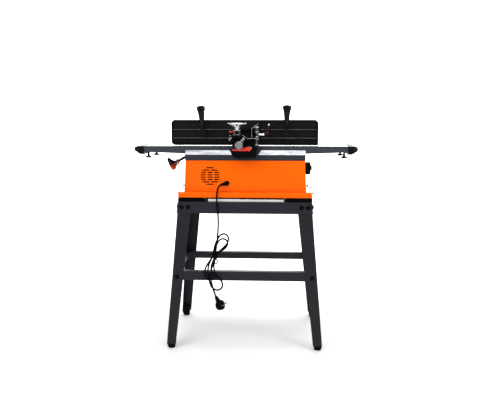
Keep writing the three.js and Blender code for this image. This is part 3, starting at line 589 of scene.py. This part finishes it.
# the plug: a ribbed boot into a round angled body, with its pins out of the side
plug = {
    "start": (-114.6, -194, 203), "down": (0.42, 0, -0.9), "body": (-99, -194, 169),
    "pins": (0.86, -0.4, 0.32), "radius": 20, "half": 13, "pinRadius": 2.4, "pinLength": 17,
    "spread": 9.5, "ribs": 6, "ribPitch": 3.4, "ribWidth": 5.8, "ribGrowth": 0.7, "ridges": 28,
    "ridgeDepth": 0.018,
}


def makePlug(s):
    pins = Vector(s["pins"]).normalized()
    body = Vector(s["body"])
    boot = [(0, -4), (4.4, -4)]
    for i in range(s["ribs"]):
        height = -3 + i * s["ribPitch"]
        width = s["ribWidth"] + i * s["ribGrowth"]
        boot += [(width, height), (width + 0.5, height + 1.1),
                 (width + 0.3, height + 2.2), (width - 0.7, height + 2.6)]
    boot += [(9.4, 20), (12, 27), (0, 27)]
    build = bmesh.new()
    addTurned(build, boot, s["start"], s["down"], 28)
    r, h = s["radius"], s["half"]
    disc = [(0, -h), (r - 7, -h), (r - 3, -h + 1.5), (r - 0.5, -h + 6), (r, -2), (r, h - 5),
            (r - 0.8, h - 2), (r - 2.5, h), (r - 6, h), (r - 6.6, h - 0.8), (0, h - 0.8)]

    def gripped(angle, radius, height):
        # finger ridges round the rim
        onRim = abs(height) < 8 and radius > 17
        return radius * (1 + (s["ridgeDepth"] * math.cos(s["ridges"] * angle) if onRim else 0))

    addTurned(build, softened(disc, 1.2), body, pins, 4 * s["ridges"], gripped)
    shell = addPiece("plugBody", toMesh("plugBody", build), "rubber", "base", ["mains_plug"])
    across = pins.cross(Vector(s["down"])).normalized()
    metal = bmesh.new()
    for side in (-1, 1):
        foot = body + pins * (h - 2) + across * side * s["spread"]
        tip = [(0, 0), (s["pinRadius"], 0), (s["pinRadius"], s["pinLength"] + 1.5), (0, s["pinLength"] + 2)]
        addTurned(metal, softened(tip, 0.9), foot, pins, 20)
    prongs = addPiece("plugPins", toMesh("plugPins", metal), "brass", "base")
    return shell, prongs


plugBody, plugPins = makePlug(plug)
print("lead and plug made")

# ---- strain relief where the lead leaves the cabinet
reliefShape = {
    "x": -74, "z": 662, "wall": -123.7, "wide": 8.6, "narrowing": 3.8, "waves": 11, "waveDepth": 0.35,
}


def makeRelief(s):
    build = bmesh.new()
    start = (s["x"], s["wall"], s["z"])
    nut = [(0, 0), (10, 0), (10, 1.6), (8.8, 2.4), (8.8, 6), (7.5, 7.4), (0, 8)]
    addTurned(build, softened(nut, 0.5), start, (0, -1, 0), 32)
    elbow = [(s["x"], -129, s["z"]), (s["x"] - 1, -131.5, s["z"]), (s["x"] - 5, -133.3, s["z"] - 0.9),
             (s["x"] - 12, -135.6, s["z"] - 2.6), (-92, -137.4, 658.5), (-98, -139.5, 656.5)]
    line = curvePoints(elbow, 0.6)

    def taper(t):
        wave = s["waveDepth"] * math.cos(2 * math.pi * t * s["waves"]) if 0.35 < t < 0.93 else 0
        return s["wide"] - s["narrowing"] * t + wave

    tubeMesh(build, line, taper, 20)
    mesh = toMesh("strainRelief", build, 50)
    return addPiece("strainRelief", mesh, "rubber", "base", ["strain_relief"])


makeRelief(reliefShape)


# ---- fence levers: a black stick with a moulded bulb
leverShapes = [
    {"name": "infeedFenceLever", "x": -175, "z": 866, "lean": -0.073,
     "body": "fence_lever_infeed", "node": "infeed_fence_lever"},
    {"name": "outfeedFenceLever", "x": 167, "z": 868, "lean": 0.018,
     "body": "fence_lever_outfeed", "node": "outfeed_fence_lever"},
]
leverPlace = {"stick": -88, "hub": -95}
bulbProfile = [
    (0, -2), (5.4, -2), (6, 2), (6, 30), (6.4, 35), (8.8, 41), (10.2, 48), (11, 55), (11.8, 64),
    (12.8, 73), (14.2, 82), (16.2, 90), (17.8, 96), (18.2, 100.5), (17.2, 104.6), (14.4, 107.4),
    (12.4, 107.9), (11.8, 107.3), (11.2, 108.4), (6, 109.8), (0, 110.2),
]
hubProfile = [(0, 0), (9, 0), (9, 5), (7.4, 6.5), (7.4, 21), (9.4, 22), (9.4, 28.2), (0, 28.2)]


def flattened(angle, radius, height, most=14.6):
    # the grip is oval, so that it passes the fence's ribs when the lever swings
    squash = max(1.0, radius / most)
    return radius / math.hypot(math.cos(angle), squash * math.sin(angle))


for lever in leverShapes:
    along = (math.sin(lever["lean"]), 0, math.cos(lever["lean"]))
    build = bmesh.new()
    stickStart = (lever["x"], leverPlace["stick"], lever["z"])
    addTurned(build, softened(bulbProfile, 1.0), stickStart, along, 48, flattened)
    hubStart = (lever["x"], leverPlace["hub"], lever["z"])
    addTurned(build, softened(hubProfile, 0.8), hubStart, (0, 1, 0), 32)
    mesh = toMesh(lever["name"], build)
    addPiece(lever["name"], mesh, "grip", lever["body"], [lever["node"]])

# ---- fence clamp: chrome dish, block with its socket, and the lock handle
dish = [
    (0, 0), (6.2, 0), (6.6, 3.5), (9.5, 5.6), (14, 8.6), (22, 13.2), (31, 18.2), (36.6, 21.2), (38, 23),
    (38, 25), (37.2, 26), (35.4, 25.6), (33, 23.6), (22, 20.6), (12, 19.4), (7, 20.2), (0, 20.2),
]
turnedPiece("clampDish", dish, (-29, -170, 880), (0, 0, 1), "chrome",
            "handwheel", ["clamp_handwheel"], 64, 1.0)

block = {"x": (-43, -15), "y": (-183, -157), "z": (859, 879.5)}
slabPiece("clampBlock", [(oblong(block["x"], block["z"]), "y", *block["y"])],
          "chrome", "carriage", ["clamp_block"], 1.8)
socketRim = [(0, 0), (7.2, 0), (7.2, 0.9), (5.6, 1.1), (5.0, -1.5), (0, -1.5)]
turnedPiece("clampSocket", socketRim, (-29, -183, 869), (0, -1, 0), "blackSteel",
            "carriage", (), 32, 0.3)
pin = [(0, 0), (2.6, 0), (2.6, 16), (2, 17.5), (0, 17.5)]
turnedPiece("clampPin", pin, (-42.5, -170, 872), (-1, 0, 0), "red",
            "carriage", (), 20, 0.4)

handle = [
    (0, 0), (7.6, 0), (8, 1), (8, 7), (7, 8), (7, 10), (9.4, 12), (11.4, 22), (13.4, 36), (15.6, 47),
    (17, 49.5), (17, 55.2), (15.6, 56.8), (13.8, 56.8), (13.2, 55.6), (11.8, 55.6), (11.2, 56.6),
    (5.6, 56.4), (5.0, 54.6), (0, 54.6),
]
turnedPiece("slideLockHandle", handle, (-4, -155, 841.5), (-17, -49, -23.5), "darkSteel",
            "lock_handle", ["slide_lock_handle"], 48, 0.7)

# ---- painted highlight: lighter strips along the tops of the fence's ribs, where light catches them
ribEdges = {"y": (-72.8, -71.8), "thick": 2.2, "spans": ((-300, -52), (62, 289)), "z": (842.4, 877.4)}
ribBars = [(oblong(span, (z, z + ribEdges["thick"])), "y", *ribEdges["y"])
           for span in ribEdges["spans"] for z in ribEdges["z"]]
slabPiece("fenceRibHighlights", ribBars, "ribHighlight", "fence", (), 0.3)

# ---- red cam lever under the handle
camOutline = [
    (26, 799), (27, 808), (24, 812.5), (18, 813.6), (10, 812.4), (2, 808.6), (-20, 805.4), (-44, 803.5),
    (-48, 801.5), (-47, 798), (-20, 797), (0, 797), (14, 797.5), (20, 796),
]
slabPiece("camLever", [(camOutline, "y", -192.4, -186.3)], "red",
          "cam", ["cam_lever"], 1.6)

# ---- bright edges and small hardware on the carriage
crownTop = [(-28, 853.2), (-7, 857.2), (13, 844.4), (37, 846.2), (56, 842.4)]
crownLow = [(x, z - 1.8) for x, z in reversed(crownTop)]
slabPiece("crownEdge", [(crownTop + crownLow, "y", -151, -149.2)], "steel",
          "carriage", (), 0.3)
bentLine = [(27.2, 847), (27.2, 885), (53.4, 904), (55, 902.2), (29.2, 884), (29.2, 847)]
slabPiece("bentPlateEdge", [(bentLine, "y", -149.9, -148.8)], "steel",
          "carriage", (), 0.3)


def hexed(angle, radius, height):
    return radius / math.cos((angle + math.pi / 6) % (math.pi / 3) - math.pi / 6)


def hexNut(radius, height):
    return softened([(0, 0), (radius - 1, 0), (radius, 0.8), (radius, height - 0.8),
                     (radius - 1, height), (0, height)], 0.3)


nuts = bmesh.new()
for low in (817.2, 846, 868):
    addTurned(nuts, hexNut(6.4, 6.4), (49, -161, low), (0, 0, 1), 48, hexed)
addTurned(nuts, hexNut(6, 8.8), (-58, -146, 838), (0, 0, 1), 48, hexed)
stud = [(0, 0), (3.2, 0), (3.2, 22), (2.4, 23), (0, 23)]
addTurned(nuts, stud, (-58, -146, 834), (0, 0, 1), 20)
addPiece("carriageNuts", toMesh("carriageNuts", nuts), "chrome", "carriage")
slabPiece("sideLug", [(oblong((-64, -49), (-152, -140)), "z", 829, 836)], "carriage",
          "carriage", (), 1.5)
boltProfile = [(0, 0), (3.4, 0), (3.6, 1), (3.6, 18), (5.4, 18.5), (5.4, 22.5), (4.6, 23.4), (0, 23.4)]
turnedPiece("crossBolt", boltProfile, (54.5, -144, 860), (1, 0, 0), "chrome",
            "carriage", (), 24, 0.4)

# ---- end support bars: end discs, and a ribbed knob under each rod
endDisc = [(0, 0), (7.6, 0), (8.2, 0.4), (8.2, 1.6), (6.4, 2.0), (5.6, 1.3), (3.4, 1.3),
           (2.8, 1.9), (0, 1.9)]
knobProfile = [(0, 0), (9, 0), (12, 0.8), (12.6, 2.5), (12.2, 5.5), (10.4, 7.2), (6, 8.6), (5, 10),
               (4.6, 21), (3, 22.5), (3, 28), (0, 28)]
supportPlace = {"disc": (444.5, 104.8, 799.5), "knob": (403, 80, 761.8)}


def fluted(angle, radius, height):
    return radius * (1 + (0.05 * math.cos(10 * angle) if height < 7 and radius > 9 else 0))


for end, sx in (("infeed", -1), ("outfeed", 1)):
    discs = bmesh.new()
    x, y, z = supportPlace["disc"]
    for sy in (-1, 1):
        addTurned(discs, softened(endDisc, 0.25), (sx * x, sy * y, z), (0, sy, 0), 36)
    name = end + "SupportDiscs"
    addPiece(name, toMesh(name, discs), "grip", end + "_support")
    x, y, z = supportPlace["knob"]
    for side, sy in (("rear", -1), ("front", 1)):
        build = bmesh.new()
        addTurned(build, softened(knobProfile, 0.7), (sx * x, sy * y, z), (0, 0, 1), 60, fluted)
        name = end + side.capitalize() + "LockKnob"
        addPiece(name, toMesh(name, build), "plastic", end + "_knob_" + side,
                 [end + "_lock_knob_" + side])

# ---- depth knob, three lobed, with its locking arc
knobShape = {"radius": 26, "lobe": 8, "axis": (-0.8660254, 0, -0.5), "middle": (-266, 0, 758), "at": 41}


def makeDepthKnob(s):
    along = Vector(s["axis"])
    start = Vector(s["middle"]) + along * s["at"]

    def lobed(angle, radius, height):
        share = min(1.0, max(0.0, (radius - 8) / 14))
        return radius * (1 + share * (s["lobe"] / s["radius"]) * math.cos(3 * angle))

    profile = [(0, 0), (9.4, 0), (10.4, 1.5), (11, 6), (15, 10.5), (22, 15), (25.4, 18.5), (26, 22),
               (25.4, 26), (22.5, 29), (17, 30.6), (9, 30.2), (7, 28.6), (0, 28.6)]
    build = bmesh.new()
    addTurned(build, softened(profile, 1.2), start, along, 96, lobed)
    mesh = toMesh("depthKnob", build)
    return addPiece("depthKnob", mesh, "knob", "depth_adjuster", ["depth_hand_knob"])


makeDepthKnob(knobShape)
arcLine = [(-293, -4, 745), (-290, -8, 737), (-293, -9, 729), (-303, -8, 722), (-311, -6, 716)]
arcPath = curvePoints(arcLine, 1.5)
arc = bmesh.new()
tubeMesh(arc, arcPath, 1.7, 12)
addPiece("depthKnobArc", toMesh("depthKnobArc", arc), "wire", "depth_adjuster")
lockNut = [(0, 0), (8.4, 0), (9.6, 1), (9.6, 9), (8.4, 10), (0, 10)]
turnedPiece("depthLockNut", lockNut, (-290.248, 0, 744), (-0.866, 0, -0.5), "steel",
            "depth_adjuster", (), 48, 0.4, hexed)

# ---- domed bolts of the stand
boltShape = {"radius": 9.6, "height": 6.4}
standShape = {
    "topZ": 588.7, "halfX": 272.5, "halfY": 160, "slopeX": 0.0806, "slopeY": 0.1023, "inset": 2.3,
    "railZ": 568.0, "stretcherZ": 284.5, "railX": (-257, -230, 230, 257), "railY": 140, "fromEdge": 22,
    "sunk": 0.4,
}


def addBolt(build, start, direction, s):
    r, h = s["radius"], s["height"]
    dome = [(0, 0), (r, 0), (r, 1.0), (r * 0.96, 2.0), (r * 0.84, 3.6), (r * 0.6, h - 1.0),
            (r * 0.3, h - 0.2), (0, h)]
    addTurned(build, softened(dome, 0.25), start, direction, 30)


def makeBolts(s, b):
    # the legs splay, so their outside moves out as they go down
    high, low = s["railZ"], s["stretcherZ"]
    highX, lowX = (s["halfX"] + s["slopeX"] * (s["topZ"] - z) for z in (high, low))
    highY, lowY = (s["halfY"] + s["slopeY"] * (s["topZ"] - z) for z in (high, low))
    build = bmesh.new()
    for sy in (-1, 1):
        for x in s["railX"]:
            addBolt(build, (x, sy * (highY - s["sunk"]), high), (0, sy, 0), b)
        for sx in (-1, 1):
            place = (sx * (lowX - s["fromEdge"]), sy * (lowY - s["inset"] - s["sunk"]), low)
            addBolt(build, place, (0, sy, 0), b)
    for sx in (-1, 1):
        for y in (-s["railY"], s["railY"]):
            addBolt(build, (sx * (highX - s["sunk"]), y, high), (sx, 0, 0), b)
    return addPiece("standBolts", toMesh("standBolts", build), "bolt", "base")


makeBolts(standShape, boltShape)

# ---- small screws of the cabinet and tray, and the tray's folded tabs
screws = bmesh.new()
flatHead = softened([(0, 0), (3.4, 0), (3.6, 0.8), (2.8, 2.0), (1.4, 2.4), (1.2, 1.4), (0, 1.4)], 0.25)
longHead = softened([(0, -2), (2, -2), (2, 6), (4.2, 6.4), (4.4, 8.8), (3.2, 9.8), (1.4, 9.8),
                     (1.2, 8.6), (0, 8.6)], 0.3)
for sx in (-1, 1):
    for sy in (-1, 1):
        addTurned(screws, flatHead, (sx * 73, sy * 139, 627), (0, 0, 1), 20)
        addTurned(screws, longHead, (sx * 270.6, sy * 100, 618), (sx, 0, 0), 20)
        addTurned(screws, longHead, (sx * 247.4, sy * 100, 650), (sx, 0, 0), 20)
addPiece("cabinetScrews", toMesh("cabinetScrews", screws), "blackSteel", "base")
screen = [(0, 0), (48, 0), (48, 1.4), (0, 1.4)]
turnedPiece("ventScreen", screen, (-143, -119.6, 691), (0, 1, 0), "rubber", "base", (), 40)
# painted light: a pale strip, a little uneven along its top, standing in for the bright backdrop seen
# through the gap between the rail and the tray
gapLight = {
    "from": -150, "to": 158, "bottom": 588.9, "top": 599.2, "y": (-141.5, -137.5), "step": 11,
    "uneven": 1.1, "fall": 1.2,
}


def makeGapLight(s):
    count = round((s["to"] - s["from"]) / s["step"])
    upper = []
    for i in range(count + 1):
        x = s["from"] + (s["to"] - s["from"]) * i / count
        upper.append((x, s["top"] - s["uneven"] * random.random() - s["fall"] * i / count))
    outline = [(s["from"], s["bottom"]), *upper, (s["to"], s["bottom"])]
    return slabPiece("gapLightStrip", [(outline, "y", *s["y"])], "gapLight", "base", (), 0.5)


makeGapLight(gapLight)
tab = [(-169, 605.4), (-158, 605.4), (-163.5, 600.5)]
tabs = [([(sx * x, z) for x, z in tab], "y", *sorted((sy * 143.6, sy * 141.8)))
        for sx in (-1, 1) for sy in (-1, 1)]
slabPiece("trayTabs", tabs, "tray", "base", (), 0.4)


# ---- light and floor
studio = {
    "sky": 1.0, "front": 0.05, "overhead": 0.6, "behind": 0.5,
    "backdrop": 2.6, "backdropTurn": (0.6, 0.85), "backdropHeight": (0.55, 0.3),
    "screen": 0.7, "screenTurn": (-0.3, -0.7), "screenHeight": (0.03, 0.12),
    "floor": (0.93, 0.93, 0.93), "floorSize": 9, "plain": (0.45, 1.1),
    "lamps": [
        ("key", (-1.5, -2.1, 2.5), (0, 0, 0.7), 2.2, 36),
        ("side", (2.0, -1.5, 1.5), (0.1, 0, 0.7), 0.9, 16),
        ("top", (0.2, 0.5, 2.9), (0, 0, 0.6), 2.2, 45),
    ],
}


def makeStudio(s):
    world = bpy.data.worlds.new("studio")
    bpy.context.scene.world = world
    world.use_nodes = True
    tree = world.node_tree
    back = tree.nodes["Background"]
    ways = addNode(tree, "ShaderNodeTexCoord")
    parts = addNode(tree, "ShaderNodeSeparateXYZ")
    tree.links.new(ways.outputs["Generated"], parts.inputs[0])
    upper = math2(tree, "MULTIPLY", math2(tree, "MAXIMUM", parts.outputs["Z"], 0.0), s["overhead"])
    rear = math2(tree, "MULTIPLY", math2(tree, "MAXIMUM", parts.outputs["Y"], 0.0), s["behind"])
    # the lit backdrop is a band low behind the machine
    band = math2(tree, "MULTIPLY", ranged(tree, parts.outputs["Y"], *s["backdropTurn"], 0.0, s["backdrop"]),
                 ranged(tree, parts.outputs["Z"], *s["backdropHeight"], 0.0, 1.0))
    # and a fainter one above the camera's side
    screen = math2(tree, "MULTIPLY", ranged(tree, parts.outputs["Y"], *s["screenTurn"], 0.0, s["screen"]),
                   ranged(tree, parts.outputs["Z"], *s["screenHeight"], 0.0, 1.0))
    glow = math2(tree, "ADD", math2(tree, "ADD", math2(tree, "ADD", upper, rear), s["front"]),
                 math2(tree, "ADD", band, screen))
    seen = addNode(tree, "ShaderNodeLightPath").outputs["Is Camera Ray"]
    tree.links.new(math2(tree, "MAXIMUM", glow, seen), back.inputs["Strength"])
    back.inputs["Color"].default_value = (s["sky"], s["sky"], s["sky"], 1)
    for name, place, target, size, power in s["lamps"]:
        data = bpy.data.lights.new(name, "AREA")
        data.size = size
        data.energy = power
        lamp = bpy.data.objects.new(name, data)
        lamp.location = place
        lamp.rotation_euler = (Vector(target) - Vector(place)).to_track_quat("-Z", "Y").to_euler()
        bpy.context.collection.objects.link(lamp)
    build = bmesh.new()
    bmesh.ops.create_grid(build, x_segments=2, y_segments=2, size=s["floorSize"])
    mesh = bpy.data.meshes.new("floor")
    build.to_mesh(mesh)
    build.free()
    floor = bpy.data.objects.new("floor", mesh)
    bpy.context.collection.objects.link(floor)
    material = bpy.data.materials.new("floorPaint")
    material.use_nodes = True
    shader = material.node_tree.nodes["Principled BSDF"]
    shader.inputs["Base Color"].default_value = (*s["floor"], 1)
    shader.inputs["Roughness"].default_value = 0.9
    shader.inputs["Specular IOR Level"].default_value = 0.1
    # away from the machine the sweep is lit to white
    paper = material.node_tree
    reach = addNode(paper, "ShaderNodeVectorMath", operation="LENGTH")
    paper.links.new(addNode(paper, "ShaderNodeTexCoord").outputs["Object"], reach.inputs[0])
    lit = ranged(paper, reach.outputs["Value"], *s["plain"], 0.0, 1.0)
    watched = addNode(paper, "ShaderNodeLightPath").outputs["Is Camera Ray"]
    shader.inputs["Emission Color"].default_value = (1, 1, 1, 1)
    paper.links.new(math2(paper, "MULTIPLY", lit, watched), shader.inputs["Emission Strength"])
    mesh.materials.append(material)
    bpy.context.scene.view_settings.view_transform = "Standard"


makeStudio(studio)
print("studio ready")
